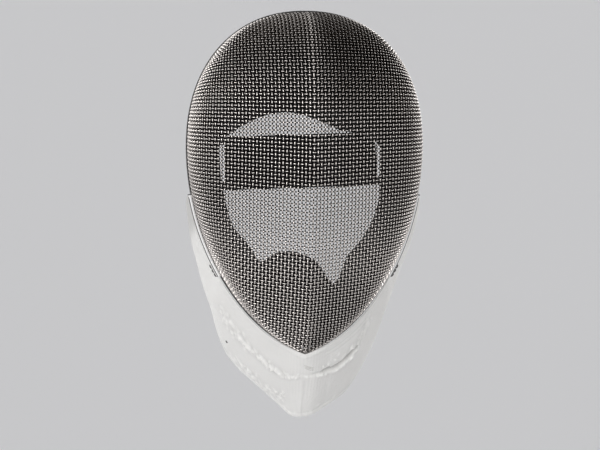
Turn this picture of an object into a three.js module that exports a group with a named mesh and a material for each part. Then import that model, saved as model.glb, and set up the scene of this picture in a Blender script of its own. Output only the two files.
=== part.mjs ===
import * as THREE from 'three';

// Fencing mask with a creased wire face, a white bib and a dark padded inside.
// Sizes are in millimetres. The mask is drawn square to its rim, with three measures:
// across (to the right as seen from the front), up (from the widest level of the rim)
// and back (from the foremost point of the face). The whole mask then leans back as worn.

// How it sits on an upright head
const LEAN_BACK = THREE.MathUtils.degToRad(20);
const SEAT_UP = -20;
const SEAT_BACK = 100;

// Outline of the rim
const RIM_HALF_WIDTH = 91.5;
const RIM_TOP = 104.9;
const RIM_CHIN = 161.3;
const CROWN_FULLNESS = 2.22;
const JAW_FULLNESS = 1.9;
const CHIN_POINT = 27.5;

// Depth of the rim behind the foremost point
const RIM_DEPTH_TOP = 95;
const RIM_DEPTH_SIDE = 112;
const RIM_DEPTH_CHIN = 98;

// Crease down the middle of the face
const BROW_UP = 20.8;
const NOSE_DROP = 75;
const NOSE_SET_BACK = 2;
const JAW_RISE = 32.2;
const JAW_SET_BACK = 35.7;
const CREASE_SLOPE = 0.49;
const CHEEK_REACH = 0.9;
const SIDE_WALL = 0.57;

const MESH_HALF_WALL = 1;
const FIT_GAP = 0.35;

// Folded steel edge
const BAND_WALL = 1.2;
const BAND_LEG = 3.2;
const CHIN_LEG_TURN = 0.52;
const CHIN_LEG_REACH = 26;
const CHIN_EASE = 0.8;

// Bib and its corded edge
const BIB_THICKNESS = 3;
const BIB_FALL = 5;
const SEAM_DENT = 1.2;
const SEAM_PLACE = 0.4;
const EAR_UP = -36;
const PIPING_RADIUS = 1.1;
const PIPING_AHEAD = 0.5;
const PIPING_END_UP = -101;

// Padded lining
const LINING_THICKNESS = 10;
const LINING_SET_IN = 12;
const LINING_EDGE_DEPTH = 92;
const LINING_CLEARANCE = 1.7;
const OPENING_ACROSS = -4;
const OPENING_UP = -25;
const HEAD_LINING_ENDS = [-38.4, 215.6];
const CHIN_LINING_ENDS = [216.6, 320.6];

// Pad and straps behind the head
const PAD = { width: 121, height: 43, thickness: 6, up: -9.5, back: 137, corner: 6 };
const PAD_TURN = THREE.MathUtils.degToRad(-2);
const STRAP_WIDTH = 6.5;
const STRAP_THICKNESS = 1.6;
const STRAP_END_BACK = 103;

// Free edge of the bib from its point up to the ear; share runs from 0 at the chin to 1
const BIB_EDGE = [
  { share: 0.0, left: 0, right: 0, up: -217.5, back: 154 },
  { share: 0.12, left: -14, right: 17.9, up: -210.4, back: 156 },
  { share: 0.27, left: -31.2, right: 38.7, up: -195, back: 161 },
  { share: 0.43, left: -56.6, right: 54.7, up: -170, back: 165 },
  { share: 0.55, left: -67, right: 60, up: -147, back: 158 },
  { share: 0.68, left: -77, right: 68.5, up: -110, back: 145 },
  { share: 0.84, left: -85, right: 80, up: -80, back: 133 },
  { share: 1.0, left: -91.5, right: 91.5, up: -44, back: 121 },
];

// Edge of the face opening in the head lining, by angle from the right, anticlockwise
const HEAD_OPENING = [
  { angle: -40, radius: 66 },
  { angle: -9, radius: 63 },
  { angle: 10, radius: 63 },
  { angle: 24, radius: 67 },
  { angle: 42, radius: 54.5 },
  { angle: 52, radius: 49 },
  { angle: 75, radius: 48 },
  { angle: 103, radius: 53.6 },
  { angle: 127, radius: 58.4 },
  { angle: 147, radius: 65 },
  { angle: 153, radius: 69 },
  { angle: 171, radius: 63.7 },
  { angle: 192, radius: 61 },
  { angle: 217, radius: 64.6 },
];

// Edge of the face opening in the chin lining, with the lobe between its two notches
const CHIN_OPENING = [
  { angle: 216, radius: 64.6 },
  { angle: 228, radius: 64.5 },
  { angle: 237, radius: 68 },
  { angle: 244, radius: 71.6 },
  { angle: 252, radius: 60.4 },
  { angle: 264, radius: 56.8 },
  { angle: 275, radius: 60.5 },
  { angle: 282, radius: 68 },
  { angle: 287, radius: 85 },
  { angle: 290, radius: 84 },
  { angle: 297, radius: 74.6 },
  { angle: 304, radius: 69.3 },
  { angle: 321, radius: 66 },
];

const LOOKS = {
  wire: { color: 0x8d8781, roughness: 0.38, metalness: 1 },
  edge: { color: 0x2a2826, roughness: 0.45, metalness: 0.8 },
  bib: { color: 0xe6e2de, roughness: 0.85, metalness: 0 },
  piping: { color: 0xf4f2ef, roughness: 0.6, metalness: 0 },
  lining: { color: 0x151414, roughness: 0.9, metalness: 0 },
  pad: { color: 0x171616, roughness: 0.9, metalness: 0 },
  strap: { color: 0x1c1b1b, roughness: 0.8, metalness: 0 },
};

// Small helpers

const mix = (from, to, share) => from + (to - from) * share;

function cubic(start, leave, arrive, end, t) {
  const rest = 1 - t;
  return rest ** 3 * start + 3 * rest * rest * t * leave + 3 * rest * t * t * arrive + t ** 3 * end;
}

// A value read smoothly between the rows of a table
function readTable(rows, key, at, value) {
  const last = rows.length - 1;
  let row = 0;
  while (row < last - 1 && at > rows[row + 1][key]) {
    row += 1;
  }
  const slope = (k) => {
    const before = rows[Math.max(k - 1, 0)];
    const after = rows[Math.min(k + 1, last)];
    return (after[value] - before[value]) / (after[key] - before[key]);
  };
  const span = rows[row + 1][key] - rows[row][key];
  const t = (at - rows[row][key]) / span;
  const here = rows[row][value];
  const next = rows[row + 1][value];
  return cubic(here, here + slope(row) * span / 3, next - slope(row + 1) * span / 3, next, t);
}

function solve(low, high, isBelow) {
  for (let step = 0; step < 50; step += 1) {
    const middle = (low + high) / 2;
    if (isBelow(middle)) {
      low = middle;
    } else {
      high = middle;
    }
  }
  return (low + high) / 2;
}

// A closed body from corner points and faces; points that coincide become one
function body(points, faces) {
  const places = new Map();
  const positions = [];
  const numbers = points.map((point) => {
    const key = point.toArray().map((value) => Math.round(value * 1000)).join(' ');
    if (!places.has(key)) {
      places.set(key, places.size);
      positions.push(point.x, point.y, point.z);
    }
    return places.get(key);
  });
  const index = [];
  for (const face of faces) {
    const [a, b, c] = face.map((corner) => numbers[corner]);
    if (a !== b && b !== c && c !== a) {
      index.push(a, b, c);
    }
  }
  const geometry = new THREE.BufferGeometry();
  geometry.setAttribute('position', new THREE.Float32BufferAttribute(positions, 3));
  geometry.setIndex(index);
  geometry.computeVertexNormals();
  return geometry;
}

// A body swept through closed rings of points, each ring the same length
function sweep(rings, closed) {
  const size = rings[0].length;
  const faces = [];
  const steps = closed ? rings.length : rings.length - 1;
  for (let ring = 0; ring < steps; ring += 1) {
    const next = (ring + 1) % rings.length;
    for (let k = 0; k < size; k += 1) {
      const after = (k + 1) % size;
      const [a, b] = [ring * size + k, ring * size + after];
      const [c, d] = [next * size + after, next * size + k];
      faces.push([a, b, c], [a, c, d]);
    }
  }
  if (!closed) {
    const end = (rings.length - 1) * size;
    for (let k = 1; k < size - 1; k += 1) {
      faces.push([0, k + 1, k], [end, end + k, end + k + 1]);
    }
  }
  return body(rings.flat(), faces);
}

// A body between two sheets of points laid out in the same rows and columns
function wall(outer, inner) {
  const rows = outer.length;
  const columns = outer[0].length;
  const shift = rows * columns;
  const at = (row, column) => row * columns + column;
  const faces = [];
  const quad = (a, b, c, d) => faces.push([a, b, c], [a, c, d]);
  for (let row = 0; row < rows - 1; row += 1) {
    for (let column = 0; column < columns - 1; column += 1) {
      const [a, b] = [at(row, column), at(row, column + 1)];
      const [c, d] = [at(row + 1, column + 1), at(row + 1, column)];
      quad(a, b, c, d);
      quad(shift + a, shift + d, shift + c, shift + b);
    }
  }
  const edge = [];
  for (let column = 0; column < columns - 1; column += 1) {
    edge.push([at(0, column + 1), at(0, column)]);
    edge.push([at(rows - 1, column), at(rows - 1, column + 1)]);
  }
  for (let row = 0; row < rows - 1; row += 1) {
    edge.push([at(row, 0), at(row + 1, 0)]);
    edge.push([at(row + 1, columns - 1), at(row, columns - 1)]);
  }
  for (const [a, b] of edge) {
    quad(a, b, shift + b, shift + a);
  }
  return body([...outer.flat(), ...inner.flat()], faces);
}

// The drawn measures as a point: X is across, Y is back and Z is up
const place = (across, up, back) => new THREE.Vector3(across, back, up);

// Form of the face. Set in is how far a skin lies inside the middle of the wires.

function rimHalfWidth(up, setIn) {
  const half = RIM_HALF_WIDTH - setIn;
  if (up >= 0) {
    const share = Math.min(up / (RIM_TOP - setIn), 1);
    return half * (1 - share ** CROWN_FULLNESS) ** (1 / CROWN_FULLNESS);
  }
  const wide = half + CHIN_POINT;
  const narrow = (1 - (CHIN_POINT / wide) ** JAW_FULLNESS) ** (1 / JAW_FULLNESS);
  const share = Math.min(-up / (RIM_CHIN - setIn), 1) * narrow;
  return Math.max(wide * (1 - share ** JAW_FULLNESS) ** (1 / JAW_FULLNESS) - CHIN_POINT, 0);
}

function rimDepth(up) {
  const share = up >= 0 ? up / RIM_TOP : up / RIM_CHIN;
  return mix(RIM_DEPTH_SIDE, up >= 0 ? RIM_DEPTH_TOP : RIM_DEPTH_CHIN, share * share);
}

// Crease from the chin (-1) over the brow (0) to the crown (1)
function crease(along, setIn) {
  if (along >= 0) {
    const turn = along * Math.PI / 2;
    const up = mix(BROW_UP, RIM_TOP - setIn, Math.sin(turn));
    return { up, back: mix(RIM_DEPTH_TOP, setIn, Math.cos(turn)) };
  }
  const chin = -(RIM_CHIN - setIn);
  const up = cubic(BROW_UP, BROW_UP - NOSE_DROP, chin + JAW_RISE, chin, -along);
  const back = cubic(setIn, setIn + NOSE_SET_BACK, setIn + JAW_SET_BACK, RIM_DEPTH_CHIN, -along);
  return { up, back };
}

// A point of the face: along the crease, and to the side from -1 to 1
function facePoint(along, aside, setIn) {
  const { up, back } = crease(along, setIn);
  const half = rimHalfWidth(up, setIn);
  const edge = Math.max(rimDepth(up), back);
  const t = Math.abs(aside);
  const reach = CHEEK_REACH * half;
  const across = cubic(0, reach, half, half, t);
  const rise = Math.min(CREASE_SLOPE * reach, (edge - back) * (1 - SIDE_WALL));
  const depth = cubic(back, back + rise, mix(edge, back, SIDE_WALL), edge, t);
  return place(Math.sign(aside) * across, up, depth);
}

// How far back the face lies behind a spot seen from the front
function faceDepth(across, up, setIn) {
  const low = -(RIM_CHIN - setIn);
  if (up >= RIM_TOP - setIn || up <= low || Math.abs(across) >= rimHalfWidth(up, setIn)) {
    return Infinity;
  }
  const along = solve(-1, 1, (middle) => crease(middle, setIn).up < up);
  const aside = solve(0, 1, (middle) => facePoint(along, middle, setIn).x < Math.abs(across));
  return facePoint(along, aside, setIn).y;
}

// Rim as an even run of points from the chin up the right side to the crown

const RIM_STEPS = 600;

function rimRun() {
  const points = [];
  for (let step = 0; step <= RIM_STEPS; step += 1) {
    const turn = (step / RIM_STEPS - 0.5) * Math.PI;
    const up = Math.sin(turn) * (turn < 0 ? RIM_CHIN : RIM_TOP);
    points.push(place(rimHalfWidth(up, 0), up, rimDepth(up)));
  }
  const lengths = [0];
  for (let step = 1; step <= RIM_STEPS; step += 1) {
    lengths.push(lengths[step - 1] + points[step].distanceTo(points[step - 1]));
  }
  return { points, lengths, total: lengths[RIM_STEPS] };
}

const RIM = rimRun();

// Length along the rim from the chin to a level
function rimLengthAt(up) {
  const step = solve(0, RIM_STEPS, (middle) => RIM.points[Math.floor(middle)].z < up);
  return RIM.lengths[Math.round(step)];
}

function rimPoint(length) {
  const wanted = Math.min(Math.max(length, 0), RIM.total);
  let step = 1;
  while (step < RIM_STEPS && RIM.lengths[step] < wanted) {
    step += 1;
  }
  const span = RIM.lengths[step] - RIM.lengths[step - 1];
  const share = (wanted - RIM.lengths[step - 1]) / span;
  return RIM.points[step - 1].clone().lerp(RIM.points[step], share);
}

// A spot on the rim with the way out from the mask and the way forward along the face
function rimFrame(length, side) {
  const point = rimPoint(length);
  const along = rimPoint(length + 0.5).sub(rimPoint(length - 0.5));
  if (length < 0.5 || length > RIM.total - 0.5) {
    along.set(1, 0, 0);
  }
  const nearChin = THREE.MathUtils.smoothstep(CHIN_LEG_REACH - point.x, 0, CHIN_LEG_REACH);
  const turn = point.z < 0 ? CHIN_LEG_TURN * nearChin : 0;
  const forward = place(0, turn, -1).normalize();
  const out = new THREE.Vector3().crossVectors(along, forward).normalize();
  if (out.x * point.x + out.z * point.z < 0) {
    out.negate();
  }
  for (const vector of [point, out, forward]) {
    vector.x *= side;
  }
  return { point, out, forward, ease: point.z < 0 ? CHIN_EASE * nearChin : 0 };
}

// A point off the rim by so much outward and forward
function offRim(frame, outward, ahead) {
  return frame.point.clone().addScaledVector(frame.out, outward).addScaledVector(frame.forward, ahead);
}

// Pieces

// One half of the face; the two halves meet at the crease
function meshFace(side) {
  const rows = 36;
  const columns = 14;
  const start = side < 0 ? -1 : 0;
  const sheet = (setIn) => {
    const lines = [];
    for (let row = 0; row <= rows; row += 1) {
      const line = [];
      for (let column = 0; column <= columns; column += 1) {
        const point = facePoint(-1 + 2 * row / rows, start + column / columns, setIn);
        point.x = side * Math.max(Math.abs(point.x), FIT_GAP / 2);
        line.push(point);
      }
      lines.push(line);
    }
    return lines;
  };
  return wall(sheet(-MESH_HALF_WALL), sheet(MESH_HALF_WALL));
}

// Rim frames all the way round, from the chin up the right side and down the left
function wholeRim(steps) {
  const frames = [];
  for (let step = 0; step < 2 * steps; step += 1) {
    const right = step <= steps;
    const length = RIM.total * (right ? step : 2 * steps - step) / steps;
    frames.push(rimFrame(length, right ? 1 : -1));
  }
  return frames;
}

function rimBand() {
  const rings = wholeRim(40).map((frame) => {
    const inside = MESH_HALF_WALL + FIT_GAP + frame.ease;
    const outside = inside + BAND_WALL;
    const base = -FIT_GAP - frame.ease;
    const profile = [
      [-inside, BAND_LEG],
      [-inside, base],
      [inside, base],
      [inside, BAND_LEG],
      [outside, BAND_LEG],
      [outside, base - BAND_WALL],
      [-outside, base - BAND_WALL],
      [-outside, BAND_LEG],
    ];
    return profile.map(([outward, ahead]) => offRim(frame, outward, ahead));
  });
  return sweep(rings, true);
}

const EAR_LENGTH = rimLengthAt(EAR_UP);

// A point of the bib: share from -1 to 1 between the ears, fall from the rim to the free edge
function bibPoint(share, fall) {
  const side = share < 0 ? -1 : 1;
  const part = Math.abs(share);
  const frame = rimFrame(EAR_LENGTH * part, side);
  const top = offRim(frame, MESH_HALF_WALL + FIT_GAP + BAND_WALL, -FIT_GAP * 2 - BAND_WALL - frame.ease);
  const across = readTable(BIB_EDGE, 'share', part, side < 0 ? 'left' : 'right');
  const up = readTable(BIB_EDGE, 'share', part, 'up');
  const back = readTable(BIB_EDGE, 'share', part, 'back');
  const point = top.lerp(place(across, up, back), fall);
  const seam = SEAM_DENT * Math.exp(-(((fall - SEAM_PLACE) / 0.06) ** 2));
  const width = Math.sin(Math.PI * Math.min(1, 1.15 * (1 - part))) ** 0.5 || 0;
  const bulge = BIB_FALL * Math.sin(Math.PI * fall) * (0.35 + 0.65 * width) - seam * (1 - part);
  return point.addScaledVector(frame.out, bulge);
}

function bib() {
  const columns = 44;
  const falls = [0, 0.12, 0.24, 0.34, 0.4, 0.46, 0.58, 0.72, 0.86, 1];
  const step = 0.01;
  const outer = [];
  const inner = [];
  for (const fall of falls) {
    const outerLine = [];
    const innerLine = [];
    for (let column = 0; column <= columns; column += 1) {
      const share = -1 + 2 * column / columns;
      const point = bibPoint(share, fall);
      const low = Math.max(share - step, -1);
      const high = Math.min(share + step, 1);
      const alongRim = bibPoint(high, fall).sub(bibPoint(low, fall));
      const above = bibPoint(share, Math.max(fall - step, 0));
      const downBib = bibPoint(share, Math.min(fall + step, 1)).sub(above);
      const inward = new THREE.Vector3().crossVectors(alongRim, downBib).normalize();
      if (share === 0) {
        inward.x = 0;
        inward.normalize();
      }
      outerLine.push(point);
      innerLine.push(point.clone().addScaledVector(inward, BIB_THICKNESS));
    }
    outer.push(outerLine);
    inner.push(innerLine);
  }
  return wall(inner, outer);
}

function piping(side) {
  const from = rimLengthAt(PIPING_END_UP);
  const to = EAR_LENGTH;
  const outward = MESH_HALF_WALL + 2 * FIT_GAP + BAND_WALL + PIPING_RADIUS;
  const steps = 22;
  const corners = 8;
  const rings = [];
  for (let step = 0; step <= steps; step += 1) {
    const frame = rimFrame(mix(from, to, step / steps), side);
    const ring = [];
    for (let corner = 0; corner < corners; corner += 1) {
      const turn = -side * 2 * Math.PI * corner / corners;
      const aside = PIPING_RADIUS * Math.cos(turn);
      const ahead = PIPING_RADIUS * Math.sin(turn);
      ring.push(offRim(frame, outward + aside, PIPING_AHEAD + ahead));
    }
    rings.push(ring);
  }
  return sweep(rings, false);
}

// How far from the middle of the opening the lining can go before it meets the wires
function liningReach(angle, back) {
  return solve(0, 200, (radius) => {
    const across = OPENING_ACROSS + radius * Math.cos(angle);
    const up = OPENING_UP + radius * Math.sin(angle);
    return faceDepth(across, up, LINING_CLEARANCE) < back;
  });
}

function lining(table, [from, to], steps) {
  const rings = [];
  for (let step = 0; step <= steps; step += 1) {
    const degrees = mix(from, to, step / steps);
    const angle = THREE.MathUtils.degToRad(degrees);
    const free = readTable(table, 'angle', degrees, 'radius');
    const rimHere = solve(0, 200, (radius) => {
      const across = OPENING_ACROSS + radius * Math.cos(angle);
      const up = OPENING_UP + radius * Math.sin(angle);
      return Math.abs(across) < rimHalfWidth(up, 0);
    });
    const behind = rimDepth(OPENING_UP + rimHere * Math.sin(angle)) - LINING_SET_IN;
    const front = behind - LINING_THICKNESS;
    const half = LINING_THICKNESS / 2;
    const profile = [
      [liningReach(angle, behind), behind],
      [free + half, LINING_EDGE_DEPTH + half],
      [free + 0.3 * half, LINING_EDGE_DEPTH + 0.7 * half],
      [free, LINING_EDGE_DEPTH],
      [free + 0.3 * half, LINING_EDGE_DEPTH - 0.7 * half],
      [free + half, LINING_EDGE_DEPTH - half],
      [liningReach(angle, front), front],
    ];
    rings.push(profile.map(([radius, back]) => place(
      OPENING_ACROSS + radius * Math.cos(angle),
      OPENING_UP + radius * Math.sin(angle),
      back,
    )));
  }
  return sweep(rings, false);
}

function backPad() {
  const half = PAD.width / 2;
  const tall = PAD.height / 2;
  const shape = new THREE.Shape();
  shape.moveTo(-half + PAD.corner, -tall);
  shape.lineTo(half - PAD.corner, -tall);
  shape.quadraticCurveTo(half, -tall, half, -tall + PAD.corner);
  shape.lineTo(half, tall - PAD.corner);
  shape.quadraticCurveTo(half, tall, half - PAD.corner, tall);
  shape.lineTo(-half + PAD.corner, tall);
  shape.quadraticCurveTo(-half, tall, -half, tall - PAD.corner);
  shape.lineTo(-half, -tall + PAD.corner);
  shape.quadraticCurveTo(-half, -tall, -half + PAD.corner, -tall);
  const geometry = new THREE.ExtrudeGeometry(shape, {
    depth: PAD.thickness,
    bevelEnabled: false,
    curveSegments: 4,
  });
  geometry.rotateX(Math.PI / 2);
  geometry.rotateY(PAD_TURN);
  geometry.translate(0, PAD.back + PAD.thickness, PAD.up);
  return geometry;
}

// A strap from one side of the rim round the back of the pad to the other side
function strap(up) {
  const flat = PAD.back + PAD.thickness + FIT_GAP + STRAP_THICKNESS / 2;
  const rimHere = Math.min(rimHalfWidth(up - STRAP_WIDTH / 2, 0), rimHalfWidth(up + STRAP_WIDTH / 2, 0));
  const end = rimHere - MESH_HALF_WALL - 2 * FIT_GAP - BAND_WALL - STRAP_THICKNESS / 2;
  const run = [];
  const half = [
    [end, STRAP_END_BACK],
    [end, STRAP_END_BACK + 9],
    [end - 4, STRAP_END_BACK + 18],
    [PAD.width / 2 + 12, flat - 5],
    [PAD.width / 2 + 3, flat],
    [30, flat],
  ];
  for (const [across, back] of half) {
    run.push(new THREE.Vector2(-across, back));
  }
  for (const [across, back] of half.reverse()) {
    run.push(new THREE.Vector2(across, back));
  }
  const curve = new THREE.SplineCurve(run).getSpacedPoints(34);
  const near = [];
  const far = [];
  curve.forEach((point, k) => {
    const before = curve[Math.max(k - 1, 0)];
    const after = curve[Math.min(k + 1, curve.length - 1)];
    const way = after.clone().sub(before).normalize();
    const aside = new THREE.Vector2(-way.y, way.x).multiplyScalar(STRAP_THICKNESS / 2);
    near.push(point.clone().sub(aside));
    far.push(point.clone().add(aside));
  });
  const shape = new THREE.Shape([...near, ...far.reverse()]);
  const geometry = new THREE.ExtrudeGeometry(shape, { depth: STRAP_WIDTH, bevelEnabled: false });
  geometry.translate(0, 0, up - STRAP_WIDTH / 2);
  return geometry;
}

// Assembly

const mask = new THREE.Group();
mask.rotation.x = -LEAN_BACK;
mask.position.set(
  0,
  -(SEAT_UP * Math.sin(LEAN_BACK) + SEAT_BACK * Math.cos(LEAN_BACK)),
  -(SEAT_UP * Math.cos(LEAN_BACK) - SEAT_BACK * Math.sin(LEAN_BACK)),
);

function addPiece(name, geometry, look) {
  const mesh = new THREE.Mesh(geometry, new THREE.MeshStandardMaterial(look));
  mesh.name = name;
  mask.add(mesh);
}

const strapRise = PAD.height / 2 - STRAP_WIDTH / 2;
addPiece('mesh_face_left', meshFace(-1), LOOKS.wire);
addPiece('mesh_face_right', meshFace(1), LOOKS.wire);
addPiece('rim_band', rimBand(), LOOKS.edge);
addPiece('bib', bib(), LOOKS.bib);
addPiece('bib_piping_left', piping(-1), LOOKS.piping);
addPiece('bib_piping_right', piping(1), LOOKS.piping);
addPiece('head_lining', lining(HEAD_OPENING, HEAD_LINING_ENDS, 64), LOOKS.lining);
addPiece('chin_lining', lining(CHIN_OPENING, CHIN_LINING_ENDS, 34), LOOKS.lining);
addPiece('back_pad', backPad(), LOOKS.pad);
addPiece('strap_upper', strap(PAD.up + strapRise), LOOKS.strap);
addPiece('strap_lower', strap(PAD.up - strapRise), LOOKS.strap);

const part = new THREE.Group();
part.add(mask);

export default part;
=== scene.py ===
import math

import bpy
import numpy as np
from mathutils import Matrix, Vector


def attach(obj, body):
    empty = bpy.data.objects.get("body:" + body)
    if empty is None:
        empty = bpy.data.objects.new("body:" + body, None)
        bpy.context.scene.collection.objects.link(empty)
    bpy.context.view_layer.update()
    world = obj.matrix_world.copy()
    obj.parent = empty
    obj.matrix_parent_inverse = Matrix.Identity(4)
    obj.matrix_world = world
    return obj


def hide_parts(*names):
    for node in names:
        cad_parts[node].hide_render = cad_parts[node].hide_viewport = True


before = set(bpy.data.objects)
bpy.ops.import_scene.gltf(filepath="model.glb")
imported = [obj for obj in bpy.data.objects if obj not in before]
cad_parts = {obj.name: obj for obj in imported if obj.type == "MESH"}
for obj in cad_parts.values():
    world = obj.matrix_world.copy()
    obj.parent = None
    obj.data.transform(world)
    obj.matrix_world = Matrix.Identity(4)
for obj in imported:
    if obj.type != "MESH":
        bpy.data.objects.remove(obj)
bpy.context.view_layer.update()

# Fencing mask with a creased wire face, a white bib and a dark padded inside.
# It is drawn square to its rim in millimetres: across (to the right as seen from the
# front), back (from the foremost point) and up (from the widest level of the rim).
# The drawn points then lean back as worn and become metres of the shared frame.

MM = 0.001

LEAN_BACK = math.radians(20)
SEAT_UP = -20.0
SEAT_BACK = 100.0

# Outline and depth of the rim
RIM_HALF_WIDTH = 91.5
RIM_TOP = 104.9
RIM_CHIN = 161.3
CROWN_FULLNESS = 2.22
JAW_FULLNESS = 1.9
CHIN_POINT = 27.5
RIM_DEPTH_TOP = 95.0
RIM_DEPTH_SIDE = 112.0
RIM_DEPTH_CHIN = 98.0

# Crease down the middle of the face
BROW_UP = 20.8
NOSE_DROP = 75.0
NOSE_SET_BACK = 2.0
JAW_RISE = 32.2
JAW_SET_BACK = 35.7
CREASE_SLOPE = 0.49
CHEEK_REACH = 0.9
SIDE_WALL = 0.57

# Woven wire
WIRE_PITCH = 3.1
WIRE_RADIUS = 0.57
WIRE_CORNERS = 5
WIRE_RINGS = 4
CHEEK_ROWS = 30
# Painted highlight on the wires beside the rim and along the crease, and painted shade on the wires in
# front of the openings
PAINTED_SHINE_DOWN = 0.02
PAINTED_SHINE_ACROSS = 0.2
PAINTED_SHINE_RIDGE = 0.05
PAINTED_SHADE_IN_FRONT = 0.037
CLIMB_AT_BROW = 0.045
CLIMB_GROWTH = 0.0021
CLIMB_FADE = 14.0
NET_REACH = 1.12
NET_LIMIT = 1.14
NET_TRIES = 14
NET_STRIDE = 0.03
NET_MISS = 0.02

# Painted highlight and painted shade on the wires: where more of each wire is painted bright, or less of
# it, from a start along the crease to its full share
PAINTED_SHINE_AND_SHADE_ALONG = [
    dict(share=0.12, start=-0.15, full=-0.6),
    dict(share=-0.045, start=-0.78, full=-0.95),
    dict(share=-0.06, start=0.1, full=0.6),
    dict(share=0.09, start=0.55, full=0.95),
]

# Painted shade on the right half alone, set the same way
PAINTED_SHADE_ON_RIGHT = [
    dict(share=-0.063, start=-0.35, full=0.3),
    dict(share=-0.07, start=-0.5, full=-0.75),
]

# Folded steel edge
FIT_GAP = 0.35
BAND_INSIDE = 1.2
BAND_WALL = 0.8
BAND_LEG = 3.2
BAND_ROUNDING = 0.4
BAND_STEPS = 420
CHIN_LEG = 1.0
CHIN_LEG_TURN = 0.52
CHIN_LEG_REACH = 26.0
CHIN_EASE = 0.3
# How much lighter the steel is painted towards the chin, and over what distance
CHIN_LIGHTER = 0.85
CHIN_LIGHTER_FROM = 42.0
CHIN_LIGHTER_FULL = 14.0

# Bib and its corded edge
BIB_THICKNESS = 3.0
BIB_TOP_THICKNESS = 1.0
BIB_LAP = 2.7
BIB_GAP = 0.1
BIB_FALL = 5.0
BIB_COLUMNS = 320
BIB_ROWS = 120
CLOSER_AT_CHIN = 0.38
CHIN_ROUNDING = 9.0
CHIN_SPREAD = 14.0
EDGE_ROUNDING = 1.5
INSIDE_RELIEF = 0.35
# Painted shade on the bib: a base level, more of it in the hollows of its relief, and its most
PAINTED_SHADE_BASE = 0.144
PAINTED_SHADE_IN_HOLLOWS = 0.5
PAINTED_SHADE_LIMIT = 0.8
HOLLOW_SPREAD = 36
SHADE_AT_EAR = 0.72
SHADE_IN_FOLD = 0.95
EAR_UP = -36.0
PIPING_RADIUS = 1.1
PIPING_CORNERS = 14
PIPING_OUTWARD = 2.2
PIPING_AHEAD = 3.8
PIPING_END_UP = -101.0
# Dark line beside each cord, a painted shadow
CORD_SHADOW_RADIUS = 0.35
CORD_SHADOW_ASIDE = 0.25
CORD_SHADOW_BEHIND = 0.9
LOOP_RADIUS = 0.45
LOOP_ASIDE = 0.5
THREAD_CORNERS = 8

# Low relief of the bib
ROLL_HEIGHT = 0.6
ROLL_DOWN = 3.2
LIP_REACH = 8.0
HEM_WIDTH = 7.0
HEM_HEIGHT = 0.25
HEM_GROOVE = 0.3
SEAM_WIDTH = 0.7
RIB_PITCH = 2.4
RIB_HEIGHT = 0.09
RIBS_ALONG = 3.0
RIBS_SPREAD = 15.0
PLEAT_HEIGHT = 0.5
PLEAT_REACH = 12.0
CHEEK_HOLLOW = 0.9
PUCKER_SEED = 11
PUCKER_LONG = (1.6, 3.0)
PUCKER_SHORT = (1.1, 1.6)
PUCKER_TURN = 0.9

# Padded lining
LINING_THICKNESS = 10.0
LINING_SET_IN = 12.0
CHIN_SET_IN = 3.0
LINING_EDGE_DEPTH = 92.0
LINING_CLEARANCE = 1.7
LINING_RADIUS = 75.0
LINING_RING_GAP = 2.5
LINING_FULLNESS = 1.6
LINING_SLACK = 1.4
OPENING_ACROSS = -4.0
OPENING_UP = -25.0
OPENING_CHIN = 271.0
FAR_OUT = 200.0
HEAD_LINING_ENDS = (-38.9, 216.1)
CHIN_LINING_ENDS = (216.1, 321.1)

# Filling of the padded pieces
FILLING_PRESSURE = 4.0
SWELL_FRAMES = 20
SWELL_LIMIT = 1.5

# Pad and straps behind the head
PAD_ACROSS = -0.7
PAD_WIDTH = 122.5
PAD_HEIGHT = 43.0
PAD_THICKNESS = 6.0
PAD_FIRST_SHARE = 0.75
PAD_SQUARENESS = 0.28
PAD_RINGS = 24
PAD_CORNERS = 96
PAD_UP = -9.5
PAD_BACK = 137.0
PAD_TURN = math.radians(-2)
STRAP_WIDTH = 6.5
STRAP_THICKNESS = 1.6
STRAP_ROUNDING = 0.7
STRAP_END_BACK = 103.0

# Free edge of the bib from its point up to the ear
BIB_EDGE = [
    dict(share=0.0, left=0, right=0, up=-217.5, back=154),
    dict(share=0.04, left=-6, right=6.5, up=-216.9, back=154.3),
    dict(share=0.12, left=-14, right=17.9, up=-210.4, back=156),
    dict(share=0.27, left=-31.2, right=38.7, up=-195, back=161),
    dict(share=0.43, left=-56.6, right=54.7, up=-170, back=165),
    dict(share=0.55, left=-67, right=60, up=-147, back=158),
    dict(share=0.68, left=-77, right=68.5, up=-110, back=145),
    dict(share=0.84, left=-85, right=80, up=-80, back=133),
    dict(share=1.0, left=-91.5, right=91.5, up=-44, back=121),
]

# Fold across the bib: where it lies and how far its lower lip stands out
BIB_FOLD = [
    dict(share=-0.47, fall=0.33, lip=0.0),
    dict(share=-0.35, fall=0.345, lip=0.2),
    dict(share=-0.24, fall=0.365, lip=0.35),
    dict(share=-0.157, fall=0.39, lip=0.45),
    dict(share=-0.073, fall=0.395, lip=0.3),
    dict(share=-0.02, fall=0.34, lip=0.2),
    dict(share=0.045, fall=0.355, lip=0.9),
    dict(share=0.115, fall=0.37, lip=2.7),
    dict(share=0.18, fall=0.38, lip=3.2),
    dict(share=0.242, fall=0.35, lip=2.9),
    dict(share=0.308, fall=0.315, lip=1.7),
    dict(share=0.37, fall=0.18, lip=0.0),
]

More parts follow.
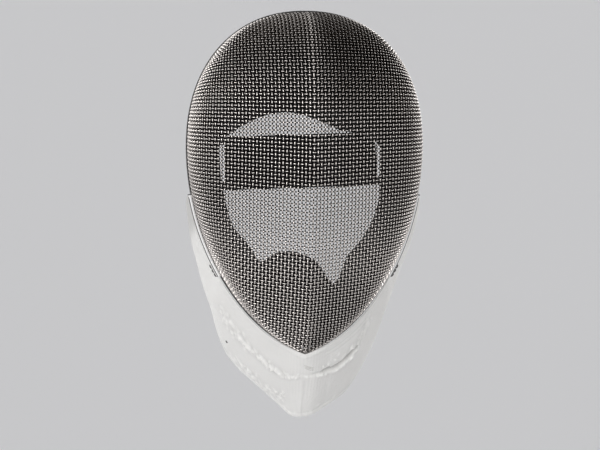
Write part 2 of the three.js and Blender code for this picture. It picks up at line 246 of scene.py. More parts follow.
# Rows of small puckers: along the bib by share, and how far off their line and how high in millimetres
PUCKER_ROWS = [
    dict(beside="fold", start=-0.47, end=-0.3, count=18, off=-0.5, spread=4.0, height=0.9, size=1.0),
    dict(beside="fold", start=-0.33, end=-0.1, count=17, off=0.8, spread=1.3, height=1.6, size=1.0),
    dict(beside="fold", start=-0.1, end=0.03, count=5, off=0.8, spread=1.2, height=1.0, size=1.0),
    dict(beside="fold", start=0.06, end=0.26, count=18, off=1.6, spread=0.8, height=0.9, size=0.65),
    dict(beside="fold", start=0.24, end=0.38, count=16, off=-1.0, spread=2.2, height=1.0, size=1.0),
    dict(beside="hem", start=-0.42, end=-0.2, count=22, off=14.0, spread=3.2, height=1.1, size=1.0),
    dict(beside="hem", start=-0.46, end=0.3, count=20, off=5.0, spread=2.5, height=0.6, size=1.0),
    dict(beside="fold", start=-0.5, end=-0.33, count=30, off=-1.0, spread=4.0, height=1.5, size=0.65),
    dict(beside="fold", start=-0.35, end=-0.02, count=36, off=0.5, spread=2.6, height=1.3, size=0.6),
    dict(beside="hem", start=-0.36, end=-0.1, count=50, off=16.0, spread=4.5, height=1.4, size=0.65),
    dict(beside="fold", start=0.08, end=0.42, count=40, off=-4.0, spread=3.0, height=1.0, size=0.6),
]

# Rows of sewing below the top of the bib, in millimetres; some are on its right side alone
BIB_SEAMS = [
    dict(down=4.5, depth=0.1, right_only=0),
    dict(down=7, depth=0.4, right_only=1),
    dict(down=11, depth=0.3, right_only=1),
]

# Edge of the face opening in the head lining, by angle from the right, anticlockwise
HEAD_OPENING = [
    dict(angle=-40, radius=66),
    dict(angle=-9, radius=63),
    dict(angle=10, radius=63),
    dict(angle=24, radius=67),
    dict(angle=42, radius=54.5),
    dict(angle=52, radius=49),
    dict(angle=75, radius=48),
    dict(angle=103, radius=53.6),
    dict(angle=127, radius=58.4),
    dict(angle=147, radius=65),
    dict(angle=153, radius=69),
    dict(angle=171, radius=63.7),
    dict(angle=192, radius=61),
    dict(angle=217, radius=64.6),
]

# Edge of the face opening in the chin lining, with the lobe between its two notches
CHIN_OPENING = [
    dict(angle=216, radius=64.6),
    dict(angle=228, radius=64.5),
    dict(angle=237, radius=68),
    dict(angle=244, radius=71.6),
    dict(angle=252, radius=60.4),
    dict(angle=264, radius=56.8),
    dict(angle=275, radius=60.5),
    dict(angle=282, radius=68),
    dict(angle=287, radius=85),
    dict(angle=290, radius=84),
    dict(angle=297, radius=74.6),
    dict(angle=304, radius=69.3),
    dict(angle=321, radius=66),
]


# Drawing helpers


def mix(start, end, share):
    return start + (end - start) * share


def cubic(start, leave, arrive, end, t):
    rest = 1 - t
    return rest**3 * start + 3 * rest * rest * t * leave + 3 * rest * t * t * arrive + t**3 * end


def smooth(value, low, high):
    t = np.clip((value - low) / (high - low), 0, 1)
    return t * t * (3 - 2 * t)


def hump(value, middle, width):
    return np.exp(-(((value - middle) / width) ** 2))


def read_table(rows, key, value, at):
    """A value read smoothly between the rows of a table"""
    keys = np.array([row[key] for row in rows], float)
    values = np.array([row[value] for row in rows], float)
    before = np.maximum(np.arange(len(rows)) - 1, 0)
    after = np.minimum(np.arange(len(rows)) + 1, len(rows) - 1)
    slope = (values[after] - values[before]) / (keys[after] - keys[before])
    at = np.asarray(at, float)
    row = np.clip(np.searchsorted(keys, at) - 1, 0, len(rows) - 2)
    span = keys[row + 1] - keys[row]
    t = (at - keys[row]) / span
    leave = values[row] + slope[row] * span / 3
    arrive = values[row + 1] - slope[row + 1] * span / 3
    return cubic(values[row], leave, arrive, values[row + 1], t)


def solve(low, high, is_below):
    for _ in range(40):
        middle = (low + high) / 2
        below = is_below(middle)
        low = np.where(below, middle, low)
        high = np.where(below, high, middle)
    return (low + high) / 2


def drawn(across, up, back):
    return np.stack(np.broadcast_arrays(across, back, up), -1).astype(float)


def leaned(vectors):
    across, back, up = np.moveaxis(np.asarray(vectors, float), -1, 0)
    sine, cosine = math.sin(LEAN_BACK), math.cos(LEAN_BACK)
    return np.stack([across, up * sine + back * cosine, up * cosine - back * sine], -1)


def as_worn(points):
    return leaned(points - np.array([0, SEAT_BACK, SEAT_UP])) * MM


def unit(vectors):
    return vectors / np.maximum(np.linalg.norm(vectors, axis=-1, keepdims=True), 1e-9)


def run_lengths(points):
    """Lengths from the start of a line of points"""
    return np.concatenate([[0], np.cumsum(np.linalg.norm(np.diff(points, axis=0), axis=1))])


# Form of the face and its rim


def rim_half_width(up, set_in=0.0):
    half = RIM_HALF_WIDTH - set_in
    crown = np.clip(up / (RIM_TOP - set_in), 0, 1)
    above = half * (1 - crown**CROWN_FULLNESS) ** (1 / CROWN_FULLNESS)
    wide = half + CHIN_POINT
    narrow = (1 - (CHIN_POINT / wide) ** JAW_FULLNESS) ** (1 / JAW_FULLNESS)
    jaw = np.clip(-up / (RIM_CHIN - set_in), 0, 1) * narrow
    below = np.maximum(wide * (1 - jaw**JAW_FULLNESS) ** (1 / JAW_FULLNESS) - CHIN_POINT, 0)
    return np.where(up >= 0, above, below)


def rim_depth(up):
    share = np.where(up >= 0, up / RIM_TOP, up / RIM_CHIN)
    return mix(RIM_DEPTH_SIDE, np.where(up >= 0, RIM_DEPTH_TOP, RIM_DEPTH_CHIN), share * share)


def crease(along, set_in=0.0):
    """Level and depth of the crease, from the chin (-1) over the brow (0) to the crown (1)"""
    turn = np.maximum(along, 0) * math.pi / 2
    crown_up = mix(BROW_UP, RIM_TOP - set_in, np.sin(turn))
    crown_back = mix(RIM_DEPTH_TOP, set_in, np.cos(turn))
    chin = set_in - RIM_CHIN
    fall = np.maximum(-along, 0)
    jaw_up = cubic(BROW_UP, BROW_UP - NOSE_DROP, chin + JAW_RISE, chin, fall)
    jaw_back = cubic(set_in, set_in + NOSE_SET_BACK, set_in + JAW_SET_BACK, RIM_DEPTH_CHIN, fall)
    return np.where(along >= 0, crown_up, jaw_up), np.where(along >= 0, crown_back, jaw_back)


def face_point(along, aside, set_in=0.0):
    """A point of the right half of the face: along the crease, and aside from 0 to 1 at the rim"""
    up, back = crease(along, set_in)
    half = rim_half_width(up, set_in)
    edge = np.maximum(rim_depth(up), back)
    reach = CHEEK_REACH * half
    across = cubic(0, reach, half, half, aside)
    rise = np.minimum(CREASE_SLOPE * reach, (edge - back) * (1 - SIDE_WALL))
    depth = cubic(back, back + rise, mix(edge, back, SIDE_WALL), edge, aside)
    return drawn(across, up, depth)


def face_normal(along, aside):
    """The way out from the face; on the crease it points straight ahead"""
    step = 0.004
    low = np.clip(along - step, -1, 1)
    high = np.clip(along + step, -1, 1)
    upward = face_point(high, aside) - face_point(low, aside)
    sideways = face_point(along, aside + step) - face_point(along, np.maximum(aside - step, 0))
    normal = unit(np.cross(sideways, upward))
    normal[..., 0] *= np.where(aside < step, 0, 1)
    return unit(normal)


def face_depth(across, up, set_in):
    """How far back the face lies behind a spot seen from the front"""
    along = solve(np.full_like(up, -1), np.ones_like(up), lambda a: crease(a, set_in)[0] < up)
    far = np.abs(across)
    aside = solve(np.zeros_like(up), np.ones_like(up), lambda s: face_point(along, s, set_in)[..., 0] < far)
    outside = (up >= RIM_TOP - set_in) | (up <= set_in - RIM_CHIN) | (far >= rim_half_width(up, set_in))
    return np.where(outside, np.inf, face_point(along, aside, set_in)[..., 1])


def rim_run():
    turn = np.linspace(-0.5, 0.5, 1201) * math.pi
    up = np.sin(turn) * np.where(turn < 0, RIM_CHIN, RIM_TOP)
    points = drawn(rim_half_width(up), up, rim_depth(up))
    return points, run_lengths(points)


RIM_POINTS, RIM_LENGTHS = rim_run()
RIM_TOTAL = RIM_LENGTHS[-1]


def rim_length_at(up):
    return float(np.interp(up, RIM_POINTS[:, 2], RIM_LENGTHS))


EAR_LENGTH = rim_length_at(EAR_UP)
PIPING_START = rim_length_at(PIPING_END_UP)
BAND_OUTSIDE = BAND_INSIDE + BAND_WALL


def rim_point(length):
    """A point of the rim at a length from the chin; below 0 it runs up the left side"""
    wanted = np.where(np.abs(length) > RIM_TOTAL, 2 * RIM_TOTAL - np.abs(length), np.abs(length))
    point = np.stack([np.interp(wanted, RIM_LENGTHS, column) for column in RIM_POINTS.T], -1)
    side = np.where(np.abs(length) > RIM_TOTAL, -np.sign(length), np.where(length < 0, -1, 1))
    point[..., 0] *= side
    return point


def rim_frame(length):
    """Spots on the rim with the way out from the mask, the way forward and the ease at the chin"""
    length = np.asarray(length, float)
    point = rim_point(length)
    step = 4
    along = rim_point(length + step) - rim_point(length - step)
    near_chin = smooth(CHIN_LEG_REACH - np.abs(point[..., 0]), 0, CHIN_LEG_REACH) * (point[..., 2] < 0)
    forward = unit(drawn(0 * near_chin, CHIN_LEG_TURN * near_chin, -1))
    out = unit(np.cross(along, forward))
    heart = drawn(0, -30, 0)
    inward = np.sum(out * (point - heart) * np.array([1, 0, 1]), -1) < 0
    out = np.where(inward[..., None], -out, out)
    return point, out, forward, CHIN_EASE * near_chin


def off_rim(spot, outward, ahead):
    point, out, forward, _ = spot
    return point + out * np.asarray(outward)[..., None] + forward * np.asarray(ahead)[..., None]


# Mesh helpers


def grid_faces(rows, columns, start=0, wrap_rows=False, wrap_columns=False, flip=False):
    """Four-sided faces over points laid out in rows and columns"""
    row = np.arange(rows if wrap_rows else rows - 1)[:, None]
    column = np.arange(columns if wrap_columns else columns - 1)[None, :]
    next_row, next_column = (row + 1) % rows, (column + 1) % columns
    corners = [row * columns + column, row * columns + next_column]
    corners += [next_row * columns + next_column, next_row * columns + column]
    faces = np.stack(np.broadcast_arrays(*corners), -1).reshape(-1, 4) + start
    return faces[:, ::-1] if flip else faces


def bar_faces(rows, columns):
    """Faces of a bar with closed ends, whose rings are the rows of its points"""
    faces = grid_faces(rows, columns, wrap_columns=True).tolist()
    faces.append(list(range(columns))[::-1])
    faces.append(list(range((rows - 1) * columns, rows * columns)))
    return faces


def tube(path, normal, radius, corners):
    """Points and faces of a round bar along a path"""
    way = unit(np.gradient(path, axis=0))
    side = unit(np.cross(way, normal))
    outward = np.cross(side, way)
    turn = 2 * math.pi * np.arange(corners) / corners
    thick = np.broadcast_to(np.asarray(radius, float), len(path))[:, None, None]
    ring = np.cos(turn)[None, :, None] * outward[:, None, :]
    ring = ring + np.sin(turn)[None, :, None] * side[:, None, :]
    points = (path[:, None, :] + ring * thick).reshape(-1, 3)
    return points, bar_faces(len(path), corners)


def cloth_grid(across, down):
    """Lengths across and down the cloth at every point of a grid"""
    return np.stack(np.broadcast_arrays(across[:, None], down[None, :]), -1).reshape(-1, 2)


def gather(parts):
    """Several sets of points and faces as one"""
    points, faces, shift = [], [], 0
    for part_points, part_faces in parts:
        points.append(part_points)
        faces.extend([[corner + shift for corner in face] for face in part_faces])
        shift += len(part_points)
    return np.concatenate(points), faces


def add_piece(name, points, faces, finish, nodes=(), uv=None):
    """A piece of the mask from drawn points, set into the frame and riding on it"""
    mesh = bpy.data.meshes.new(name)
    mesh.from_pydata(as_worn(np.asarray(points)).tolist(), [], [list(face) for face in faces])
    mesh.shade_smooth()
    if uv is not None:
        layer = mesh.uv_layers.new(name="cloth")
        corner = np.zeros(len(mesh.loops), np.int32)
        mesh.loops.foreach_get("vertex_index", corner)
        layer.data.foreach_set("uv", (np.asarray(uv)[corner] * MM).astype(np.float32).ravel())
    mesh.materials.append(finish.material)
    piece = bpy.data.objects.new(name, mesh)
    bpy.context.scene.collection.objects.link(piece)
    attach(piece, "root")
    if nodes:
        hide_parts(*nodes)
    return piece


def paint(piece, name, values):
    """A number at every point of a piece, which its finish reads by name"""
    layer = piece.data.attributes.new(name, "FLOAT", "POINT")
    layer.data.foreach_set("value", np.asarray(values, np.float32))


# Finishes


class Tone:
    """A socket of a finish; sums of it add Math nodes"""

    def __init__(self, finish, socket):
        self.finish = finish
        self.socket = socket

    def __add__(self, other):
        return self.finish.sum("ADD", self, other)

    __radd__ = __add__

    def __sub__(self, other):
        return self.finish.sum("SUBTRACT", self, other)

    def __rsub__(self, other):
        return self.finish.sum("SUBTRACT", other, self)

    def __mul__(self, other):
        return self.finish.sum("MULTIPLY", self, other)

    __rmul__ = __mul__


class Finish:
    """A material made of nodes for one kind of piece"""

    def __init__(self, name, **constants):
        self.material = bpy.data.materials.new(name)
        self.material.use_nodes = True
        self.tree = self.material.node_tree
        self.shader = self.tree.nodes["Principled BSDF"]
        for socket, value in constants.items():
            self.shader.inputs[socket.replace("_", " ")].default_value = value

    def node(self, kind, settings, sockets, out=0):
        made = self.tree.nodes.new(kind)
        for name, value in settings.items():
            setattr(made, name, value)
        for name, value in sockets.items():
            self.feed(made.inputs[name], value)
        return Tone(self, made.outputs[out])

    def feed(self, socket, value):
        if isinstance(value, Tone):
            self.tree.links.new(value.socket, socket)
        else:
            socket.default_value = value

    def sum(self, operation, *values):
        return self.node("ShaderNodeMath", {"operation": operation}, dict(enumerate(values)))

    def blend(self, share, first, second):
        sockets = {0: share, 6: (*first, 1) if isinstance(first, tuple) else first}
        sockets[7] = (*second, 1) if isinstance(second, tuple) else second
        return self.node("ShaderNodeMix", {"data_type": "RGBA"}, sockets, 2)

    def place(self):
        return self.node("ShaderNodeTexCoord", {}, {}, "Object")

    def cloth_lengths(self):
        """Lengths across and down the cloth in metres"""
        layer = self.node("ShaderNodeUVMap", {"uv_map": "cloth"}, {})
        parts = self.node("ShaderNodeSeparateXYZ", {}, {0: layer})
        return parts, Tone(self, parts.socket.node.outputs["Y"])

    def painted(self, name):
        return self.node("ShaderNodeAttribute", {"attribute_name": name}, {}, "Fac")

    def noise(self, size, detail):
        """Cloudy values from 0 to 1 with features of a size in millimetres"""
        sockets = {"Vector": self.place(), "Scale": 1 / (size * MM), "Detail": detail}
        return self.node("ShaderNodeTexNoise", {}, sockets)

    def ramp(self, value, low, high):
        """A smooth rise from 0 to 1 between two values"""
        sockets = {"Value": value, "From Min": low, "From Max": high}
        return self.node("ShaderNodeMapRange", {"interpolation_type": "SMOOTHSTEP"}, sockets)

    def wave(self, length, pitch):
        return self.sum("SINE", length * (2 * math.pi / (pitch * MM)))

    def weave(self, pitch):
        """Threads over and under, a pitch apart"""
        across, down = self.cloth_lengths()
        return self.wave(across, pitch) * self.wave(down, pitch)

    def show(self, **sockets):
        for name, value in sockets.items():
            self.feed(self.shader.inputs[name.replace("_", " ")], value)

    def bump(self, height, depth, strength=1.0):
        """Relief of a depth in millimetres"""
        sockets = {"Height": height, "Distance": depth * MM, "Strength": strength}
        self.show(Normal=self.node("ShaderNodeBump", {}, sockets, "Normal"))


def shade(tint, share):
    return tuple(share * value for value in tint)


def wire_steel():
    """Drawn steel wire, with painted shade in the hollows of its weave and a painted highlight on its
    crowns
    """
    finish = Finish("wire_steel", Metallic=1.0)
    grain = finish.noise(14, 3)
    streak = finish.noise(0.5, 2)
    # Painted highlight and painted shade: the painted lift makes the crowns bright and the rest of the wire
    # near black
    crown = finish.ramp(finish.painted("lift"), 0.725, 0.97)
    colour = finish.blend(crown, (0.026, 0.020, 0.016), (0.93, 0.875, 0.835))
    colour = finish.blend(grain * 0.06, colour, (0.14, 0.125, 0.115))
    finish.show(Base_Color=colour, Roughness=0.19 + grain * 0.1 + streak * 0.06)
    finish.bump(streak, 0.01, 0.25)
    return finish


def edge_steel():
    """Dark satin steel of the folded edge"""
    finish = Finish("edge_steel", Metallic=0.7)
    wear = finish.noise(9, 4)
    grain = finish.noise(0.8, 2)
    colour = finish.blend(wear, (0.08, 0.078, 0.077), (0.17, 0.167, 0.163))
    # The steel is painted lighter towards the chin
    colour = finish.blend(finish.painted("painted_brightness"), colour, (0.72, 0.70, 0.68))
    finish.show(Base_Color=colour, Roughness=0.34 + wear * 0.2)
    finish.bump(grain, 0.05, 0.3)
    return finish


def woven_white(name, tint, pitch):
    """Close white cloth with its threads over and under"""
    finish = Finish(name, Sheen_Weight=0.25, Sheen_Roughness=0.5)
    weave = finish.weave(pitch)
    cloud = finish.noise(11, 3)
    crumple = finish.noise(4, 3)
    fibre = finish.noise(0.35, 2)
    colour = finish.blend(cloud * 0.5 + fibre * 0.25, tint, shade(tint, 0.9))
    colour = finish.blend((weave + 1) * 0.05, colour, shade(tint, 0.6))
    # Painted shade darkens the cloth, down to half its tint
    colour = finish.blend(finish.painted("painted_shade"), colour, shade(tint, 0.5))
    finish.show(Base_Color=colour, Roughness=0.78 + fibre * 0.14)
    finish.bump(weave + fibre * 0.8 + crumple * 5, 0.12, 0.8)
    return finish


def dark_cloth(name, tint, pitch):
    """Soft dark cloth of the padded inside, a little fuzzy"""
    finish = Finish(name, Sheen_Weight=0.03, Sheen_Roughness=0.6, Specular_IOR_Level=0.2)
    weave = finish.weave(pitch)
    fuzz = finish.noise(0.6, 3)
    cloud = finish.noise(16, 2)
    colour = finish.blend(fuzz * 0.6 + cloud * 0.3, tint, shade(tint, 2.2))
    colour = finish.blend(finish.painted("handled"), colour, (0.021, 0.021, 0.022))
    finish.show(Base_Color=colour, Roughness=0.82 + fuzz * 0.12)
    finish.bump(weave * 0.5 + fuzz * 1.2, 0.2, 0.7)
    return finish


def ribbed_elastic():
    """Dark elastic with fine ribs across it"""
    finish = Finish("ribbed_elastic", Sheen_Weight=0.15)
    across, down = finish.cloth_lengths()
    rib = finish.wave(across, 1.3)
    cord = finish.wave(down, 1.1)
    fuzz = finish.noise(0.4, 2)
    colour = finish.blend((rib + 1) * 0.3 + fuzz * 0.3, (0.010, 0.010, 0.011), (0.034, 0.033, 0.034))
    finish.show(Base_Color=colour, Roughness=0.7 + fuzz * 0.2)
    finish.bump(rib + cord * 0.6 + fuzz * 0.4, 0.15, 0.8)
    return finish


def smooth_cord():
    """Close white covering of the corded edge, with a slight shine"""
    finish = Finish("smooth_cord", Specular_IOR_Level=0.6)
    along, around = finish.cloth_lengths()
    turn = finish.wave(along + around * 0.5, 1.0)
    fibre = finish.noise(0.5, 2)
    colour = finish.blend(fibre * 0.5, (0.95, 0.945, 0.94), (0.88, 0.88, 0.885))
    finish.show(Base_Color=colour, Roughness=0.34 + fibre * 0.12)
    finish.bump(turn + fibre * 0.5, 0.04, 0.4)
    return finish


def thread(name, tint):
    finish = Finish(name, Sheen_Weight=0.2)
    fibre = finish.noise(0.3, 2)
    colour = finish.blend(fibre, tint, shade(tint, 0.75))
    finish.show(Base_Color=colour, Roughness=0.6 + fibre * 0.2)
    return finish


# Woven wire face


def even_run(points, values):
    """Values at every wire pitch along a line of points"""
    lengths = run_lengths(points)
    return np.interp(np.arange(0, lengths[-1], WIRE_PITCH), lengths, values)


def weave_net(way):
    """Crossings of the right half as along and aside, above the brow (1) or below it (-1).

    Every crossing lies one pitch from its neighbours, as in a woven sheet pressed to shape.
    """
    fine = np.linspace(0, 1, 3000)
    spine = even_run(face_point(way * fine, 0 * fine), way * fine)
    wide = NET_REACH * fine
    brow = even_run(face_point(0 * fine, wide), wide)
    net = np.full((len(spine), len(brow), 2), np.nan)
    net[:, 0] = np.stack([spine, 0 * spine], -1)
    net[0, :] = np.stack([0 * brow, brow], -1)
    nudge = 1e-4
    for diagonal in range(2, len(spine) + len(brow) - 1):
        row = np.arange(max(1, diagonal - len(brow) + 1), min(len(spine), diagonal))
        column = diagonal - row
        first = face_point(*net[row - 1, column].T)
        second = face_point(*net[row, column - 1].T)
        spot = net[row - 1, column] + net[row, column - 1] - net[row - 1, column - 1]
        for _ in range(NET_TRIES):
            along, aside = spot.T

            def miss(along, aside):
                here = face_point(along, aside)
                far = [np.linalg.norm(here - first, axis=-1), np.linalg.norm(here - second, axis=-1)]
                return np.stack(far, -1) - WIRE_PITCH

            now = miss(along, aside)
            by_along = (miss(along + nudge, aside) - now) / nudge
            by_aside = (miss(along, aside + nudge) - now) / nudge
            whole = by_along[:, 0] * by_aside[:, 1] - by_along[:, 1] * by_aside[:, 0]
            whole = np.where(np.abs(whole) < 1e-6, np.nan, whole)
            step_along = (now[:, 0] * by_aside[:, 1] - now[:, 1] * by_aside[:, 0]) / whole
            step_aside = (by_along[:, 0] * now[:, 1] - by_along[:, 1] * now[:, 0]) / whole
            step = np.stack([step_along, step_aside], -1)
            spot = spot - np.clip(step, -NET_STRIDE, NET_STRIDE)
        met = np.abs(miss(*spot.T)).max(-1) < NET_MISS
        inside = met & (spot[:, 1] < NET_LIMIT) & (spot[:, 1] > 0) & (np.abs(spot[:, 0]) < 1)
        net[row, column] = np.where(inside[:, None], spot, np.nan)
    return net


def weft_climb(row):
    """Pitches that a cross wire climbs at each down wire, by its row above the brow"""
    above, below = np.maximum(row, 0), np.maximum(-row, 0)
    return CLIMB_AT_BROW * np.exp(-above / CLIMB_FADE) + CLIMB_GROWTH * below


def swept(upper, lower):
    """The crossings slid along the down wires, so that the cross wires climb towards the rim"""
    whole = np.concatenate([lower[:0:-1], upper])
    rows = np.arange(1 - len(lower), len(upper))
    slid = np.full_like(whole, np.nan)
    for column in range(whole.shape[1]):
        places = rows + weft_climb(rows) * column
        for part in range(2):
            slid[:, column, part] = np.interp(places, rows, whole[:, column, part], right=np.nan)
    return slid[len(lower) - 1 :], slid[len(lower) - 1 :: -1]


def trimmed(spots):
    """A run of crossings cut off at the rim"""
    known = ~np.isnan(spots[:, 0])
    count = len(spots) if known.all() else int(np.argmin(known))
    spots = spots[:count]
    over = np.nonzero(spots[:, 1] > 1)[0]
    if len(over) == 0:
        return spots, float(max(count - 1, 0))
    last = int(over[0])
    if last == 0:
        return spots[:0], 0.0
    share = (1 - spots[last - 1, 1]) / (spots[last, 1] - spots[last - 1, 1])
    return spots[: last + 1], last - 1 + float(share)


def painted_brightness(along, aside, by_rim):
    """How much more of each wire is painted bright, as a painted highlight, or less, as painted shade, by
    where it lies on the face
    """

    def total(rows):
        return sum(row["share"] * smooth(along, row["start"], row["full"]) for row in rows)

    far = np.abs(aside)
    beside = by_rim * smooth(far, 0.45, 0.85)
    ridge = PAINTED_SHINE_RIDGE * hump(aside, 0, 0.02) * smooth(along, -0.5, 0.1)
    on_right = total(PAINTED_SHADE_ON_RIGHT) * smooth(aside, 0, 0.12)
    in_front = PAINTED_SHADE_IN_FRONT * hump(along, -0.35, 0.14) * (1 - smooth(far, 0.4, 0.65))
    return total(PAINTED_SHINE_AND_SHADE_ALONG) + beside + ridge + on_right - in_front


def wire(spots, sides, begin, end, lift, by_rim):
    """One crimped wire through its crossings; sides is -1 on the left half and 1 on the right"""
    places = np.arange(math.ceil(begin * WIRE_RINGS) / WIRE_RINGS, end, 1 / WIRE_RINGS)
    places = np.unique(np.round(np.concatenate([[begin], places, [end]]), 4))
    index = np.arange(len(spots))
    along = np.interp(places, index, spots[:, 0])
    signed = np.interp(places, index, spots[:, 1] * sides)
    flip = np.where(signed < 0, -1, 1)
    point = face_point(along, np.abs(signed))
    normal = face_normal(along, np.abs(signed))
    point[:, 0] *= flip
    normal[:, 0] *= flip
    wave = lift * np.cos(math.pi * places)
    path = point + normal * (WIRE_RADIUS * wave)[:, None]
    points, faces = tube(path, normal, WIRE_RADIUS, WIRE_CORNERS)
    turn = np.cos(2 * math.pi * np.arange(WIRE_CORNERS) / WIRE_CORNERS)
    # From 0 on the inner side of the weave to 1 on its crowns; with the painted brightness added, this
    # places the painted highlight and painted shade
    height = 0.5 + 0.25 * (wave[:, None] + turn[None, :])
    return points, faces, (height + painted_brightness(along, signed, by_rim)[:, None]).ravel()


def weave_face(finish):
    upper, lower = swept(weave_net(1), weave_net(-1))
    names = ["down_left", "down_right", "across_crown", "across_cheeks", "across_jaw"]
    woven = {"wires_" + name: [] for name in names}
    for column in range(upper.shape[1]):
        above, top = trimmed(upper[:, column])
        below, bottom = trimmed(lower[:, column])
        if len(above) == 0 and len(below) == 0:
            continue
        spots = np.concatenate([below[::-1], above[1:]]) if len(above) else below[::-1]
        middle = max(len(below) - 1, 0)
        lift = 1 if (middle + column) % 2 == 0 else -1
        for side, name in ((-1, "wires_down_left"), (1, "wires_down_right")):
            if column > 0 or side > 0:
                ends = (middle - bottom, middle + top)
                woven[name].append(wire(spots, np.full(len(spots), side), *ends, lift, PAINTED_SHINE_DOWN))
    for net in (upper, lower):
        for row in range(0 if net is upper else 1, net.shape[0]):
            name = "wires_across_cheeks" if row < CHEEK_ROWS else "wires_across_jaw"
            name = "wires_across_crown" if net is upper else name
            half, end = trimmed(net[row])
            if len(half) < 2:
                continue
            spots = np.concatenate([half[:0:-1], half])
            sides = np.concatenate([-np.ones(len(half) - 1), np.ones(len(half))])
            middle = len(half) - 1
            lift = -1 if (middle + row) % 2 == 0 else 1
            woven[name].append(wire(spots, sides, middle - end, middle + end, lift, PAINTED_SHINE_ACROSS))
    halves = {"wires_down_left": ["mesh_face_left"], "wires_down_right": ["mesh_face_right"]}
    for name, wires in woven.items():
        points, faces = gather([made[:2] for made in wires])
        nodes = halves.get(name, ["mesh_face_left", "mesh_face_right"])
        piece = add_piece(name, points, faces, finish, nodes)
        # The painted lift holds the painted highlight and painted shade of the wires
        paint(piece, "lift", np.concatenate([made[2] for made in wires]))


weave_face(wire_steel())


# Folded steel edge


def rounded(corners, radius):
    """A closed outline with each corner turned on a small curve"""
    corners = np.array(corners, float)
    outline = []
    for k, corner in enumerate(corners):
        before, after = corners[k - 1], corners[(k + 1) % len(corners)]
        reach = min(radius, *(0.48 * np.linalg.norm(near - corner) for near in (before, after)))
        start = corner + unit(before - corner) * reach
        end = corner + unit(after - corner) * reach
        for t in (0, 0.33, 0.67, 1):
            outline.append(cubic(start, mix(start, corner, 0.6), mix(end, corner, 0.6), end, t))
    return np.array(outline)


def rim_band(finish):
    lengths = np.linspace(-RIM_TOTAL, RIM_TOTAL, BAND_STEPS, endpoint=False)
    spots = rim_frame(lengths)
    rings = []
    for spot in zip(*spots):
        ease = spot[3]
        inside = BAND_INSIDE + ease
        outside = inside + BAND_WALL
        base = -FIT_GAP - ease
        leg = mix(BAND_LEG, CHIN_LEG, ease / CHIN_EASE)
        right = [(inside, base), (inside, leg), (outside, leg), (outside, base - BAND_WALL)]
        left = [(-across, ahead) for across, ahead in right[::-1]]
        profile = rounded(left[2:] + right + left[:2], BAND_ROUNDING)
        rings.append(off_rim(spot, profile[:, 0], profile[:, 1]))
    points = np.array(rings)
    faces = grid_faces(BAND_STEPS, points.shape[1], wrap_rows=True, wrap_columns=True)
    piece = add_piece("folded_edge", points.reshape(-1, 3), faces, finish, ["rim_band"])
    # Painted lighter towards the chin
    at_chin = smooth(np.abs(points[..., 0]), CHIN_LIGHTER_FROM, CHIN_LIGHTER_FULL) * (points[..., 2] < 0)
    paint(piece, "painted_brightness", CHIN_LIGHTER * at_chin.ravel())


rim_band(edge_steel())


# Bib


def bib_width(part):
    return np.sqrt(np.maximum(np.sin(math.pi * np.minimum(1, 1.15 * (1 - part))), 0))


def bib_hang(share, fall):
    """The bib's outer face from the rim (0) to its free edge (1), and the length down it"""
    part = np.abs(share)
    spot = rim_frame(EAR_LENGTH * share)
    corded = smooth(EAR_LENGTH * part, PIPING_START - 3, PIPING_START + 5)
    at_chin = spot[3] / CHIN_EASE
    outward = BAND_OUTSIDE + BIB_TOP_THICKNESS + BIB_GAP + mix(0, spot[3] - BAND_WALL, at_chin)
    ahead = mix(mix(BIB_LAP, CHIN_LEG + 0.4, at_chin), -BAND_WALL, corded)
    top = off_rim(spot, outward + 0.8 * corded, ahead)
    columns = ("left", "right", "up", "back")
    left, right, up, back = (read_table(BIB_EDGE, "share", column, part) for column in columns)
    edge = drawn(np.where(share < 0, left, right), up, back)
    point = top + (edge - top) * fall[..., None]
    bulge = BIB_FALL * np.sin(math.pi * fall) * (0.35 + 0.65 * bib_width(part))
    length = np.linalg.norm(edge - top, axis=-1)
    return point + spot[1] * bulge[..., None], length


def bib_base(share, fall):
    """The same with the corner under the chin rounded off"""
    wide = CHIN_ROUNDING / EAR_LENGTH * hump(share * EAR_LENGTH, 0, CHIN_SPREAD) * smooth(fall, 0.02, 0.22)
    near = [bib_hang(share + wide * aside, fall)[0] for aside in (-1, -0.5, 0, 0.5, 1)]
    return sum(near) / len(near), bib_hang(share, fall)[1]


def bib_fold(share, column):
    inside = np.clip(share, BIB_FOLD[0]["share"], BIB_FOLD[-1]["share"])
    return read_table(BIB_FOLD, "share", column, inside)


def lay_puckers():
    """Small uneven puckers along the rows of stitching"""
    chance = np.random.default_rng(PUCKER_SEED)
    puckers = []
    for row in PUCKER_ROWS:
        for k in range(row["count"]):
            place = mix(row["start"], row["end"], (k + chance.uniform(0.1, 0.9)) / row["count"])
            off = row["off"] + row["spread"] * chance.normal()
            long, short = (row["size"] * chance.uniform(*span) for span in (PUCKER_LONG, PUCKER_SHORT))
            turn = chance.uniform(-PUCKER_TURN, PUCKER_TURN) + math.pi / 2
            height = row["height"] * chance.uniform(0.35, 1)
            puckers.append((row["beside"], place * EAR_LENGTH, off, long, short, turn, height))
    return puckers


PUCKERS = lay_puckers()


def puckered(along, lines):
    """Rise of the puckers, each beside its own line of the bib"""
    rise = np.zeros_like(along)
    for beside, place, off, long, short, turn, height in PUCKERS:
        ahead, aside = along - place, lines[beside] - off
        lengthwise = ahead * math.cos(turn) + aside * math.sin(turn)
        crosswise = aside * math.cos(turn) - ahead * math.sin(turn)
        rise = rise + height * hump(lengthwise, 0, long) * hump(crosswise, 0, short)
    return rise


